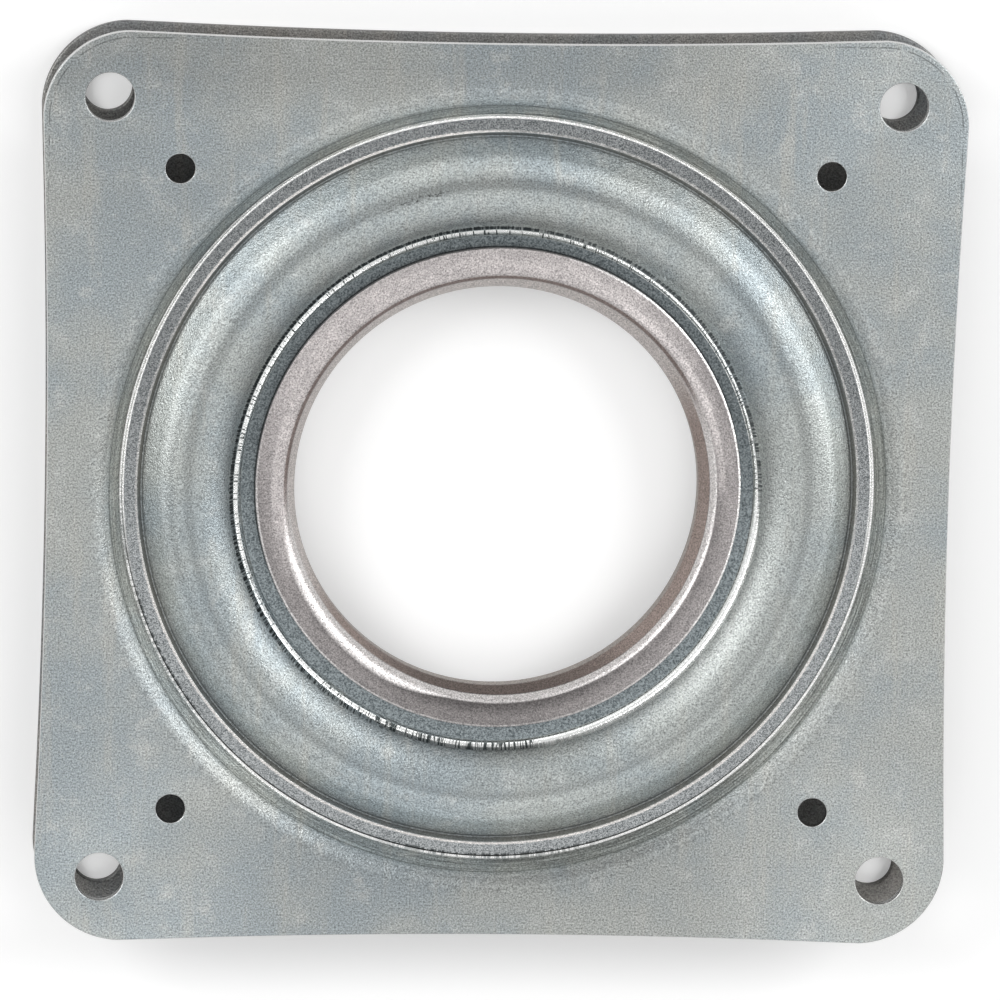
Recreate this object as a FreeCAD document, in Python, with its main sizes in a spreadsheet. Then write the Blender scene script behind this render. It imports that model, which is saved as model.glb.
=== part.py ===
import FreeCAD, Part
import math
import os
import Sketcher

os.makedirs("parts", exist_ok=True)

doc = FreeCAD.newDocument("lazy_susan_bearing")

# Driving dimensions, in millimetres, degrees and counts.
# The origin is the middle of the rear face, and the turning axis is Z.
SIZES = (
    ("plate_width", 75.8, "across a plate, from one straight-cornered side to the other"),
    ("side_draw_in", 0.65, "how far the middle of each side is pulled in by the pressing"),
    ("corner_radius", 7.2, "round of the plate corners"),
    ("overall_thickness", 7.94, "rear face of the rear plate to front face of the front plate"),
    ("sheet", 1.0, "thickness of the galvanised sheet, the same in all three pressings"),
    ("corner_hole_inset", 5.4, "plate edge to the corner holes' centres, both plates"),
    ("corner_hole_bore", 4.0, "corner hole"),
    ("small_hole_inset", 11.2, "plate edge to the small holes' centres, front plate only"),
    ("small_hole_bore", 2.4, "small hole"),
    ("pan_inset", 3.88, "plate edge to where the flat starts to bend into the round pan"),
    ("pan_bend", 2.35, "outer radius of that bend"),
    ("pan_rim_land", 0.5, "flat kept round the pan, where the turned form meets the square plate"),
    ("ball_diameter", 3.97, "steel ball"),
    ("ball_circle_inset", 8.52, "edge of the round pan to the ball centres"),
    ("ball_centre_height", 3.31, "rear face to the ball centres"),
    ("ball_count", 34, "balls in the row"),
    ("ball_clearance", 0.065, "air between a ball and the grooves round it"),
    ("running_gap", 0.15, "air between the cap ring and the front plate under it"),
    ("crease_radius", 0.25, "inside radius of the sharp creases"),
    ("cap_bore_clearance", 0.11, "from the fold's centre to the inner edge of the cap ring"),
    ("cap_seat_height", 4.64, "rear face to the underside of the cap ring's inner band"),
    ("cap_crease_height", 5.60, "rear face to the centre of the crease outside the ridge"),
    ("cap_lip_angle", 65.0, "slope of the turned-up lip"),
    ("cap_lip_length", 0.75, "straight part of the turned-up lip"),
    ("race_end_angle", 138.0, "where the front plate's groove ends, from the outward direction"),
    ("rear_floor_height", 1.9, "rear face to the rear of the pan floor"),
    ("rear_wall_run", 3.02, "edge of the round pan to the foot of the rear pan's wall"),
    ("rear_foot_bend", 0.4, "inside radius at that foot"),
    ("opening_inset", 8.76, "ball centres to the narrowest part of the centre opening"),
    ("flare_reach", 3.36, "narrowest part of the opening to the edge of the flare over the cap ring"),
    ("fold_layers", 3, "sheets across the fold: the shoulder, the cap ring's band and the flare"),
)

sheet = doc.addObject("Spreadsheet::Sheet", "Sizes")
for row, (alias, value, meaning) in enumerate(SIZES, start=1):
    sheet.set(f"A{row}", alias)
    sheet.set(f"B{row}", str(value))
    sheet.set(f"C{row}", meaning)
    sheet.setAlias(f"B{row}", alias)
doc.recompute()
size = {alias: value for alias, value, meaning in SIZES}

ORIGIN = (-1, 1)
START = 1
END = 2
CENTRE = 3
UPRIGHT = FreeCAD.Placement(FreeCAD.Vector(), FreeCAD.Rotation(FreeCAD.Vector(1, 0, 0), 90))

# The same sizes as numbers, for the first guess at each sketch.
sheet_t = size["sheet"]
pan_x = size["plate_width"] / 2 - size["pan_inset"]
pan_edge = pan_x + size["pan_rim_land"]
ball_r = size["ball_diameter"] / 2
ball_x = pan_x - size["ball_circle_inset"]
opening_x = ball_x - size["opening_inset"]
ball_z = size["ball_centre_height"]
crease = size["crease_radius"]
gap = size["running_gap"]
race = ball_r + size["ball_clearance"]
ridge = race + 2 * sheet_t + gap
fold_r = size["fold_layers"] * sheet_t / 2
cap_bore = opening_x + fold_r + size["cap_bore_clearance"]

# Radii that step in from the plate's edge: the round pan and the rim kept round it, the
# ball centres, the opening, and the inner edge of the cap ring.
PAN = "(Sizes.plate_width / 2 - Sizes.pan_inset)"
PAN_EDGE = f"({PAN} + Sizes.pan_rim_land)"
BALL_CIRCLE = f"({PAN} - Sizes.ball_circle_inset)"
OPENING = f"({BALL_CIRCLE} - Sizes.opening_inset)"
FOLD = "(Sizes.fold_layers * Sizes.sheet / 2)"
CAP_BORE = f"({OPENING} + {FOLD} + Sizes.cap_bore_clearance)"

# The groove over or under the balls, and the ridge of the cap ring over the upper one.
RACE = "(Sizes.ball_diameter / 2 + Sizes.ball_clearance)"
RIDGE = f"({RACE} + 2 * Sizes.sheet + Sizes.running_gap)"

# A side of a plate is an arc that touches both corner arcs and passes the drawn-in middle.
REACH = "(Sizes.plate_width / 2 - Sizes.corner_radius)"
DEPTH = "(Sizes.corner_radius - Sizes.side_draw_in)"
SIDE_RADIUS = f"({REACH} ^ 2 + {DEPTH} ^ 2 - Sizes.corner_radius ^ 2) / (2 * Sizes.side_draw_in)"


def polar(centre, radius, degrees):
    angle = math.radians(degrees)
    return (centre[0] + radius * math.cos(angle), centre[1] + radius * math.sin(angle))


def beside(radius, height):
    """How far a circle that touches one of this reach lies sideways, at this height."""
    return math.sqrt(radius ** 2 - height ** 2)


def bearing(start, target):
    return math.degrees(math.atan2(target[1] - start[1], target[0] - start[0]))


class Section:
    """One face of a pressing, drawn as a run of tangent lines and arcs from the axis outward."""

    def __init__(self, name):
        self.sketch = doc.addObject("Sketcher::SketchObject", name)
        self.sketch.Placement = UPRIGHT

    def line(self, start, end):
        shape = Part.LineSegment(FreeCAD.Vector(*start, 0), FreeCAD.Vector(*end, 0))
        return self.sketch.addGeometry(shape, False)

    def arc(self, centre, radius, first, last):
        circle = Part.Circle(FreeCAD.Vector(*centre, 0), FreeCAD.Vector(0, 0, 1), radius)
        shape = Part.ArcOfCircle(circle, math.radians(first), math.radians(last))
        return self.sketch.addGeometry(shape, False)

    def join(self, first, first_end, second, second_end):
        self.sketch.addConstraint(Sketcher.Constraint("Tangent", first, first_end, second, second_end))

    def level(self, line):
        self.sketch.addConstraint(Sketcher.Constraint("Horizontal", line))

    def radius(self, arc, value, expression):
        self.bind(Sketcher.Constraint("Radius", arc, value), expression)

    def across(self, item, point, value, expression):
        self.bind(Sketcher.Constraint("DistanceX", *ORIGIN, item, point, value), expression)

    def up(self, item, point, value, expression):
        self.bind(Sketcher.Constraint("DistanceY", *ORIGIN, item, point, value), expression)

    def bind(self, constraint, expression):
        index = self.sketch.addConstraint(constraint)
        self.sketch.setExpression(f"Constraints[{index}]", expression)


def pressing(section, name, side):
    """The sheet on one side of a drawn face, turned once round the axis."""
    strip = doc.addObject("Part::Offset2D", name + "_strip")
    strip.Source = section.sketch
    strip.Mode = "Skin"
    strip.Fill = True
    strip.setExpression("Value", f"{side} * Sizes.sheet")
    turned = doc.addObject("Part::Revolution", name + "_turned")
    turned.Source = strip
    turned.Axis = (0, 0, 1)
    turned.Angle = 360
    turned.Solid = True
    return turned


def plate_blank(name, height, height_expression, hole_patterns):
    """A square plate with drawn-in sides, rounded corners, a round opening and screw holes."""
    half = size["plate_width"] / 2
    corner = size["corner_radius"]
    draw_in = size["side_draw_in"]
    reach = half - corner
    depth = corner - draw_in
    side_radius = (reach ** 2 + depth ** 2 - corner ** 2) / (2 * draw_in)
    lean = math.degrees(math.asin(reach / (side_radius + corner)))

    sketch = doc.addObject("Sketcher::SketchObject", name + "_blank")
    corners = []
    sides = []
    for quarter in range(4):
        turn = 90 * quarter
        middle = polar((0, 0), reach * math.sqrt(2), 45 + turn)
        circle = Part.Circle(FreeCAD.Vector(*middle, 0), FreeCAD.Vector(0, 0, 1), corner)
        first = math.radians(turn + lean)
        last = math.radians(turn + 90 - lean)
        corners.append(sketch.addGeometry(Part.ArcOfCircle(circle, first, last), False))
    for quarter in range(4):
        turn = 90 * (quarter + 1)
        middle = polar((0, 0), half - draw_in + side_radius, turn)
        circle = Part.Circle(FreeCAD.Vector(*middle, 0), FreeCAD.Vector(0, 0, 1), side_radius)
        first = math.radians(turn + 180 - lean)
        last = math.radians(turn + 180 + lean)
        sides.append(sketch.addGeometry(Part.ArcOfCircle(circle, first, last), False))
    for quarter in range(4):
        following = corners[(quarter + 1) % 4]
        sketch.addConstraint(Sketcher.Constraint("Tangent", corners[quarter], END, sides[quarter], END))
        sketch.addConstraint(Sketcher.Constraint("Tangent", sides[quarter], START, following, START))

    def bind(constraint, expression):
        index = sketch.addConstraint(constraint)
        sketch.setExpression(f"Constraints[{index}]", expression)

    def place(item, x, y, offset, expression):
        """Pin a centre at this distance to the left or right, and above or below, the axis."""
        for kind, sign in (("DistanceX", x), ("DistanceY", y)):
            ends = (*ORIGIN, item, CENTRE) if sign > 0 else (item, CENTRE, *ORIGIN)
            bind(Sketcher.Constraint(kind, *ends, offset), expression)

    for arc, (x, y) in zip(corners, ((1, 1), (-1, 1), (-1, -1), (1, -1))):
        place(arc, x, y, reach, REACH)
    bind(Sketcher.Constraint("Radius", corners[0], corner), "Sizes.corner_radius")
    for arc in corners[1:]:
        sketch.addConstraint(Sketcher.Constraint("Equal", corners[0], arc))
    for arc in sides:
        bind(Sketcher.Constraint("Radius", arc, side_radius), SIDE_RADIUS)

    rim = Part.Circle(FreeCAD.Vector(), FreeCAD.Vector(0, 0, 1), pan_edge)
    opening = sketch.addGeometry(rim, False)
    sketch.addConstraint(Sketcher.Constraint("Coincident", opening, CENTRE, *ORIGIN))
    bind(Sketcher.Constraint("Radius", opening, pan_edge), PAN_EDGE)
    for pattern in hole_patterns:
        offset = half - size[pattern + "_inset"]
        bore = size[pattern + "_bore"] / 2
        for x, y in ((1, 1), (-1, 1), (-1, -1), (1, -1)):
            middle = FreeCAD.Vector(x * offset, y * offset, 0)
            hole = sketch.addGeometry(Part.Circle(middle, FreeCAD.Vector(0, 0, 1), bore), False)
            place(hole, x, y, offset, f"Sizes.plate_width / 2 - Sizes.{pattern}_inset")
            bind(Sketcher.Constraint("Radius", hole, bore), f"Sizes.{pattern}_bore / 2")

    sketch.Placement.Base.z = height
    sketch.setExpression("Placement.Base.z", height_expression)
    plate = doc.addObject("Part::Extrusion", name + "_square")
    plate.Base = sketch
    plate.DirMode = "Normal"
    plate.Solid = True
    plate.FaceMakerClass = "Part::FaceMakerBullseye"
    plate.setExpression("LengthFwd", "Sizes.sheet")
    return plate


def united(label, plate, turned):
    piece = doc.addObject("Part::Fuse", label)
    piece.Base = plate
    piece.Tool = turned
    piece.Refine = True
    return piece


# Centres of the creases on both sides of the ridge, seen in section.
ball = (ball_x, ball_z)
outer_crease_z = size["cap_crease_height"]
outer_crease = (ball_x + beside(ridge + crease, outer_crease_z - ball_z), outer_crease_z)
inner_crease_z = size["cap_seat_height"] + sheet_t + crease
inner_crease = (ball_x - beside(ridge + crease, inner_crease_z - ball_z), inner_crease_z)
to_outer = bearing(ball, outer_crease)
to_inner = bearing(ball, inner_crease)


# Cap ring, drawn on its front face: a flat inner band that rests on the rear plate,
# the raised ridge over the balls, and an outer lip that is turned up.
cap = Section("cap_section")
lip_angle = size["cap_lip_angle"]
band_z = size["cap_seat_height"] + sheet_t
band = cap.line((cap_bore, band_z), (inner_crease[0], band_z))
inner_bend = cap.arc(inner_crease, crease, -90, to_inner - 180)
crown = cap.arc(ball, ridge, to_outer, to_inner)
outer_bend = cap.arc(outer_crease, crease, to_outer + 180, 270 + lip_angle)
lip_foot = polar(outer_crease, crease, lip_angle - 90)
lip = cap.line(lip_foot, polar(lip_foot, size["cap_lip_length"], lip_angle))
cap.join(band, END, inner_bend, START)
cap.join(inner_bend, END, crown, END)
cap.join(crown, START, outer_bend, START)
cap.join(outer_bend, END, lip, START)
cap.level(band)
cap.across(band, START, cap_bore, CAP_BORE)
cap.up(band, START, band_z, "Sizes.cap_seat_height + Sizes.sheet")
cap.across(crown, CENTRE, ball_x, BALL_CIRCLE)
cap.up(crown, CENTRE, ball_z, "Sizes.ball_centre_height")
cap.radius(inner_bend, crease, "Sizes.crease_radius")
cap.radius(crown, ridge, RIDGE)
cap.radius(outer_bend, crease, "Sizes.crease_radius")
cap.up(outer_bend, CENTRE, outer_crease_z, "Sizes.cap_crease_height")
cap.bind(Sketcher.Constraint("Angle", lip, math.radians(lip_angle)), "Sizes.cap_lip_angle * 1 deg")
cap.bind(Sketcher.Constraint("Distance", lip, size["cap_lip_length"]), "Sizes.cap_lip_length")
cap_ring = pressing(cap, "cap_ring", -1)
cap_ring.Label = "cap_ring"


# Front plate, drawn on its front face: the groove over the balls, the trough round it,
# the sloping wall of the pan, and the bend up to the flat.
front = Section("front_section")
groove_r = race + sheet_t
trough_r = crease + sheet_t + gap
top = size["overall_thickness"]
bend = size["pan_bend"]
bend_centre = (pan_x, top - bend)
# The wall touches the trough from above and the bend from below.
span = math.dist(outer_crease, bend_centre)
wall = bearing(outer_crease, bend_centre) + math.degrees(math.asin((trough_r + bend) / span))
groove = front.arc(ball, groove_r, to_outer, size["race_end_angle"])
trough = front.arc(outer_crease, trough_r, to_outer + 180, 270 + wall)
slope = front.line(polar(outer_crease, trough_r, wall - 90), polar(bend_centre, bend, wall + 90))
rim_bend = front.arc(bend_centre, bend, 90, 90 + wall)
land = front.line((pan_x, top), (pan_edge, top))
spoke = front.line(ball, polar(ball, groove_r, size["race_end_angle"]))
front.sketch.toggleConstruction(spoke)
front.join(groove, START, trough, START)
front.join(trough, END, slope, START)
front.join(slope, END, rim_bend, END)
front.join(rim_bend, START, land, START)
front.level(land)
front.across(groove, CENTRE, ball_x, BALL_CIRCLE)
front.up(groove, CENTRE, ball_z, "Sizes.ball_centre_height")
front.radius(groove, groove_r, f"{RACE} + Sizes.sheet")
front.radius(trough, trough_r, "Sizes.crease_radius + Sizes.sheet + Sizes.running_gap")
front.up(trough, CENTRE, outer_crease_z, "Sizes.cap_crease_height")
front.radius(rim_bend, bend, "Sizes.pan_bend")
front.across(land, START, pan_x, PAN)
front.up(land, START, top, "Sizes.overall_thickness")
front.across(land, END, pan_edge, PAN_EDGE)
front.sketch.addConstraint(Sketcher.Constraint("Coincident", spoke, START, groove, CENTRE))
front.sketch.addConstraint(Sketcher.Constraint("Coincident", spoke, END, groove, END))
front.bind(Sketcher.Constraint("Angle", spoke, math.radians(size["race_end_angle"])),
           "Sizes.race_end_angle * 1 deg")
front_square = plate_blank("front", top - sheet_t, "Sizes.overall_thickness - Sizes.sheet",
                           ("corner_hole", "small_hole"))
front_plate = united("front_plate", front_square, pressing(front, "front", 1))


# Rear plate, drawn on its rear face: the flat, the pan, the groove under the balls, the
# shoulder that carries the cap ring, and the fold and flare that clamp the ring down.
rear = Section("rear_section")
floor_z = size["rear_floor_height"]
foot_bend = size["rear_foot_bend"]
pan_centre = (pan_x, bend)
foot_centre = (pan_x - size["rear_wall_run"], floor_z - foot_bend)
under_r = race + sheet_t
outer_lip = (ball_x + beside(under_r + crease, floor_z - crease - ball_z), floor_z - crease)
shoulder_z = size["cap_seat_height"] - sheet_t
inner_lip = (ball_x - beside(under_r + crease, shoulder_z - crease - ball_z), shoulder_z - crease)
fold_centre = (opening_x + fold_r, shoulder_z + fold_r)
rear_span = math.dist(pan_centre, foot_centre)
rise = math.degrees(math.asin((bend + foot_bend) / rear_span)) + 180 - bearing(pan_centre, foot_centre)
flare_z = shoulder_z + 2 * fold_r
rear_land = rear.line((pan_edge, 0), (pan_x, 0))
rear_bend = rear.arc(pan_centre, bend, 270 - rise, 270)
rear_slope = rear.line(polar(pan_centre, bend, 270 - rise), polar(foot_centre, foot_bend, 90 - rise))
foot = rear.arc(foot_centre, foot_bend, 90 - rise, 90)
floor = rear.line((foot_centre[0], floor_z), (outer_lip[0], floor_z))
groove_lip = rear.arc(outer_lip, crease, 90, bearing(outer_lip, ball))
gutter = rear.arc(ball, under_r, bearing(ball, inner_lip), 360 + bearing(ball, outer_lip))
shoulder_bend = rear.arc(inner_lip, crease, bearing(inner_lip, ball), 90)
shoulder = rear.line((inner_lip[0], shoulder_z), (fold_centre[0], shoulder_z))
fold = rear.arc(fold_centre, fold_r, 90, 270)
flare_x = opening_x + size["flare_reach"]
flare = rear.line((fold_centre[0], flare_z), (flare_x, flare_z))
rear.join(rear_land, END, rear_bend, END)
rear.join(rear_bend, START, rear_slope, START)
rear.join(rear_slope, END, foot, START)
rear.join(foot, END, floor, START)
rear.join(floor, END, groove_lip, START)
rear.join(groove_lip, END, gutter, END)
rear.join(gutter, START, shoulder_bend, START)
rear.join(shoulder_bend, END, shoulder, START)
rear.join(shoulder, END, fold, END)
rear.join(fold, START, flare, START)
for level_line in (rear_land, floor, shoulder, flare):
    rear.level(level_line)
rear.across(rear_land, START, pan_edge, PAN_EDGE)
rear.across(rear_land, END, pan_x, PAN)
rear.sketch.addConstraint(Sketcher.Constraint("PointOnObject", rear_land, END, -1))
rear.radius(rear_bend, bend, "Sizes.pan_bend")
rear.radius(foot, foot_bend, "Sizes.rear_foot_bend")
rear.across(foot, CENTRE, foot_centre[0], f"{PAN} - Sizes.rear_wall_run")
rear.up(floor, START, floor_z, "Sizes.rear_floor_height")
rear.radius(groove_lip, crease, "Sizes.crease_radius")
rear.across(gutter, CENTRE, ball_x, BALL_CIRCLE)
rear.up(gutter, CENTRE, ball_z, "Sizes.ball_centre_height")
rear.radius(gutter, under_r, f"{RACE} + Sizes.sheet")
rear.radius(shoulder_bend, crease, "Sizes.crease_radius")
rear.up(shoulder, START, shoulder_z, "Sizes.cap_seat_height - Sizes.sheet")
rear.radius(fold, fold_r, FOLD)
rear.across(fold, CENTRE, fold_centre[0], f"{OPENING} + {FOLD}")
rear.across(flare, END, flare_x, f"{OPENING} + Sizes.flare_reach")
rear_square = plate_blank("rear", 0, "0 mm", ("corner_hole",))
rear_plate = united("rear_plate", rear_square, pressing(rear, "rear", -1))


# Steel balls, evenly spaced round the row.
balls = []
for number in range(int(size["ball_count"])):
    piece = doc.addObject("Part::Sphere", f"ball_{number + 1:02d}")
    piece.setExpression("Radius", "Sizes.ball_diameter / 2")
    turn = f"{number} * 360 deg / Sizes.ball_count"
    piece.setExpression("Placement.Base.x", f"{BALL_CIRCLE} * cos({turn})")
    piece.setExpression("Placement.Base.y", f"{BALL_CIRCLE} * sin({turn})")
    piece.setExpression("Placement.Base.z", "Sizes.ball_centre_height")
    balls.append(piece)

doc.recompute()

for item in doc.Objects:
    if "Invalid" in item.State or "Error" in item.State:
        raise RuntimeError(f"{item.Name} did not build: {item.State}")

pieces = [rear_plate, front_plate, cap_ring] + balls
for piece in pieces:
    shape = piece.Shape
    if shape.isNull() or not shape.isValid() or len(shape.Solids) != 1:
        raise RuntimeError(f"{piece.Label} is not one sound solid")

for piece in pieces:
    piece.Shape.exportStep(f"parts/{piece.Label}.step")
    box = piece.Shape.BoundBox
    print(piece.Label, round(piece.Shape.Volume, 2), "z", round(box.ZMin, 3), round(box.ZMax, 3),
          "x", round(box.XMin, 3), round(box.XMax, 3))
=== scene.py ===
import math

import bmesh
import bpy
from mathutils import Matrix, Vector
from mathutils.geometry import delaunay_2d_cdt


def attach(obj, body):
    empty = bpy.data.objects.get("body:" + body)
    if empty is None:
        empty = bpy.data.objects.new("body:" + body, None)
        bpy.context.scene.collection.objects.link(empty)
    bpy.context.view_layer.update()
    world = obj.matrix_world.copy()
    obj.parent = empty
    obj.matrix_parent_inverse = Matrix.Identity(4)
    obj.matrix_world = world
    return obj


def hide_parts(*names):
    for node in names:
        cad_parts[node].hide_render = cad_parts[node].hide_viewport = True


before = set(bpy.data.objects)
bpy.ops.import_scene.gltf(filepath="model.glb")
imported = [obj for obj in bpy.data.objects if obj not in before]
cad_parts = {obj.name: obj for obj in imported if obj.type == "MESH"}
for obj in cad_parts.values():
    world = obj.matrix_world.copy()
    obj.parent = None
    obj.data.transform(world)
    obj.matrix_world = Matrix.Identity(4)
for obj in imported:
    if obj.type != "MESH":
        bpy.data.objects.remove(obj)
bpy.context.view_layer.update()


# REAR PLATE
# One pressing of 1 mm galvanised sheet with a round pan and the lower ball groove, screwed down
# at its corners. Its neck is folded out over the cap ring and holds the bearing together, and
# the rolling wore the zinc off the fold, down to bare pinkish steel.

# Sizes in millimetres, out from the axis and up from the table; slopes in degrees.
MM = 0.001
SHEET = 1.0
PLATE_HALF = 37.9
PLATE_DRAW_IN = 0.65
PLATE_CORNER = 7.2
EDGE_ROLL = 0.13
CORNER_HOLES = 32.5
CORNER_HOLE_BORE = 4.0
PAN_EDGE = 34.52
PAN_START = 34.02
PAN_BEND = 2.35
PAN_SLOPE = 44.48
BALL_ROW = 25.5
BALL_HEIGHT = 3.31
BALL_CENTRE = (BALL_ROW, BALL_HEIGHT)
GROOVE_BACK = 3.05
GROOVE_OUTER_SLOPE = 149.8
GROOVE_INNER_SLOPE = -1.4
FOLD_EDGE = 20.1
FOLD_TOP = 6.318
FOLD_UNDERSIDE = 5.64
FOLD_EDGE_BREAK = 0.1
FOLD_FOOT = 5.6
FOLD_OFF = (0.03, 0.13)
CREST_OFF = (0.16, 0.08)
CREST_EDGE = 18.8
CREST_FOOT = 4.6
CREST_RISE = 1.5

# How finely the sheet is drawn, and which of its edges stay sharp.
STEPS_ROUND = 480
CORNER_STEPS = 32
SIDE_STEPS = 24
HOLE_STEPS = 64
ROLL_STEPS = 4
SHARP_EDGE = 35
SEAM_GAP = 0.002
SAME_POINT = 1e-6
INSIDE_THE_EDGES = 1

# Sides of the bearing, as hours on a clock face whose twelve lies on the far side.
AT_2 = (0.87, 0.5)
AT_4 = (0.87, -0.5)
AT_5 = (0.5, -0.87)
AT_5_30 = (0.26, -0.97)
AT_6 = (0, -1)
AT_7_30 = (-0.74, -0.67)
AT_11_30 = (-0.26, 0.97)

# The sockets of a Mix node that carry colours.
MIX_SHARE, MIX_UNDER, MIX_OVER, MIX_RESULT = 0, 6, 7, 2


class Signal:
    """A value on its way through a node tree; arithmetic on it adds the nodes."""

    def __init__(self, nodes, socket):
        self.nodes = nodes
        self.socket = socket

    def __add__(self, other):
        return self.nodes.maths("ADD", self, other)

    def __sub__(self, other):
        return self.nodes.maths("SUBTRACT", self, other)

    def __rsub__(self, other):
        return self.nodes.maths("SUBTRACT", other, self)

    def __mul__(self, other):
        return self.nodes.maths("MULTIPLY", self, other)

    def __truediv__(self, other):
        return self.nodes.maths("DIVIDE", self, other)

    def __pow__(self, other):
        return self.nodes.maths("POWER", self, other)

    def __neg__(self):
        return 0 - self

    def __abs__(self):
        return self.nodes.maths("ABSOLUTE", self)

    __radd__ = __add__
    __rmul__ = __mul__


class Nodes:
    """A node tree, and the one way to add to it: a node's type, its settings, its inputs."""

    def __init__(self, tree):
        self.tree = tree

    def add(self, kind, settings, inputs, output=0):
        node = self.tree.nodes.new(kind)
        for name, value in settings.items():
            setattr(node, name, value)
        for key, value in inputs.items():
            self.feed(node.inputs[key], value)
        return Signal(self, node.outputs[output])

    def feed(self, socket, value):
        if isinstance(value, Signal):
            self.tree.links.new(value.socket, socket)
        else:
            socket.default_value = value

    def beside(self, signal, output):
        """Another output of the node that a signal comes from."""
        return Signal(self, signal.socket.node.outputs[output])

    def maths(self, operation, *values):
        return self.add("ShaderNodeMath", {"operation": operation}, dict(enumerate(values)))

    def mix(self, share, under, over):
        """A share of one colour laid over another."""
        return self.add("ShaderNodeMix", {"data_type": "RGBA"},
                        {MIX_SHARE: share, MIX_UNDER: under, MIX_OVER: over}, MIX_RESULT)


class Finish(Nodes):
    """The surface of a metal piece, with places measured in millimetres from the axis."""

    def __init__(self, name):
        self.material = bpy.data.materials.new(name)
        self.material.use_nodes = True
        super().__init__(self.material.node_tree)
        self.shader = self.tree.nodes["Principled BSDF"]
        self.shader.inputs["Metallic"].default_value = 1.0
        here = self.add("ShaderNodeTexCoord", {}, {}, "Object")
        self.place = self.add("ShaderNodeMapping", {},
                              {"Vector": here, "Scale": (1 / MM, 1 / MM, 1 / MM)})
        self.x = self.add("ShaderNodeSeparateXYZ", {}, {"Vector": self.place})
        self.y = self.beside(self.x, "Y")
        self.z = self.beside(self.x, "Z")
        self.radius = (self.x ** 2 + self.y ** 2) ** 0.5

    def vector(self, x, y, z):
        return self.add("ShaderNodeCombineXYZ", {}, {"X": x, "Y": y, "Z": z})

    def round(self, along, across):
        """Where noise is read for marks round the axis, by cells a turn and a millimetre out."""
        return self.vector(
            self.x / self.radius * along, self.y / self.radius * along, self.radius * across)

    def noise(self, where, scale, detail, roughness):
        return self.add("ShaderNodeTexNoise", {}, {
            "Vector": where, "Scale": scale, "Detail": detail, "Roughness": roughness}, "Fac")

    def rise(self, value, low, high):
        """0 below low, 1 above high, and a soft step between."""
        return self.add("ShaderNodeMapRange", {"interpolation_type": "SMOOTHSTEP"},
                        {"Value": value, "From Min": low, "From Max": high})

    def fall(self, value, low, high):
        """1 below low, 0 above high, and a soft step between."""
        return 1 - self.rise(value, low, high)

    def between(self, value, start, end):
        """1 from start to end; each is a soft step, given by where it begins and where it ends."""
        return self.rise(value, *start) * self.fall(value, *end)

    def ring(self, inner, outer, soft):
        """1 between two radii, fading over a soft width at both."""
        return self.between(self.radius, (inner - soft, inner + soft), (outer - soft, outer + soft))

    def from_centre(self, centre):
        """Distance from a middle that lies a little off the axis."""
        return ((self.x - centre[0]) ** 2 + (self.y - centre[1]) ** 2) ** 0.5

    def facing(self, side, low, high):
        """0 to 1 round the axis: 1 where the surface lies towards a side of the bearing."""
        return self.rise((self.x * side[0] + self.y * side[1]) / self.radius, low, high)

    def shade(self, colour, factor):
        return self.add(
            "ShaderNodeVectorMath", {"operation": "SCALE"}, {0: colour, "Scale": factor})

    def tint(self, colour, share):
        return self.add(
            "ShaderNodeVectorMath", {"operation": "MULTIPLY"}, {0: colour, 1: share})

    def close(self, colour, roughness, height):
        """Joins the surface to its shader: colour, roughness, and relief in millimetres."""
        relief = self.add(
            "ShaderNodeBump", {}, {"Strength": 1.0, "Distance": MM, "Height": height}, "Normal")
        self.feed(self.shader.inputs["Base Color"], colour)
        self.feed(self.shader.inputs["Roughness"], roughness)
        self.feed(self.shader.inputs["Normal"], relief)


def rgb(red, green, blue):
    return (red, green, blue, 1.0)


ZINC_COOL = rgb(0.306, 0.339, 0.352)
ZINC_WARM = rgb(0.365, 0.378, 0.365)
ZINC_PALE = rgb(0.44, 0.45, 0.44)
ZINC_STREAK = rgb(0.42, 0.415, 0.385)
GRAIN_CONTRAST = 2.6


def galvanised(finish):
    """Dull zinc skin: cool grey with warm clouds, rolling streaks and a salt-and-pepper grain."""
    clouds = finish.noise(finish.place, 0.07, 4, 0.6)
    patches = finish.noise(finish.place, 0.4, 5, 0.65)
    drawn = finish.vector(finish.x * 0.55, finish.y * 0.05, 0.0)
    streaks = finish.noise(drawn, 1.0, 5, 0.6)
    grain = finish.noise(finish.place, 6.8, 2, 0.7)
    colour = finish.mix(finish.rise(clouds, 0.38, 0.62), ZINC_COOL, ZINC_WARM)
    colour = finish.mix(finish.rise(patches, 0.52, 0.72) * 0.75, colour, ZINC_PALE)
    colour = finish.mix(finish.rise(streaks, 0.52, 0.72) * 0.5, colour, ZINC_STREAK)
    colour = finish.shade(colour, 1.0 + (grain - 0.5) * GRAIN_CONTRAST)
    roughness = 0.34 + patches * 0.16
    height = (grain - 0.5) * 0.04
    return colour, roughness, height


REAR_TINT_AND_SHADE = (0.69, 0.645, 0.63)
STEEL_DARK = rgb(0.40, 0.375, 0.372)
STEEL_PALE = rgb(0.46, 0.43, 0.425)
MOUTH_STEEL = rgb(0.58, 0.545, 0.53)
MOUTH_BROWN_SHADE = (0.34, 0.28, 0.255)
THROAT_BROWN = rgb(0.42, 0.385, 0.36)
BEAD_SHADOW = rgb(0.20, 0.155, 0.14)
BEAD_HIGHLIGHT = rgb(0.80, 0.77, 0.76)
EDGE_HIGHLIGHT = rgb(0.88, 0.86, 0.85)

bare = Finish("bare sheet")
colour, roughness, height = galvanised(bare)
# The rear plate's zinc is tinted browner, and painted darker all over as shade, since it lies under
# the front plate.
colour = bare.tint(colour, REAR_TINT_AND_SHADE)
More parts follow.
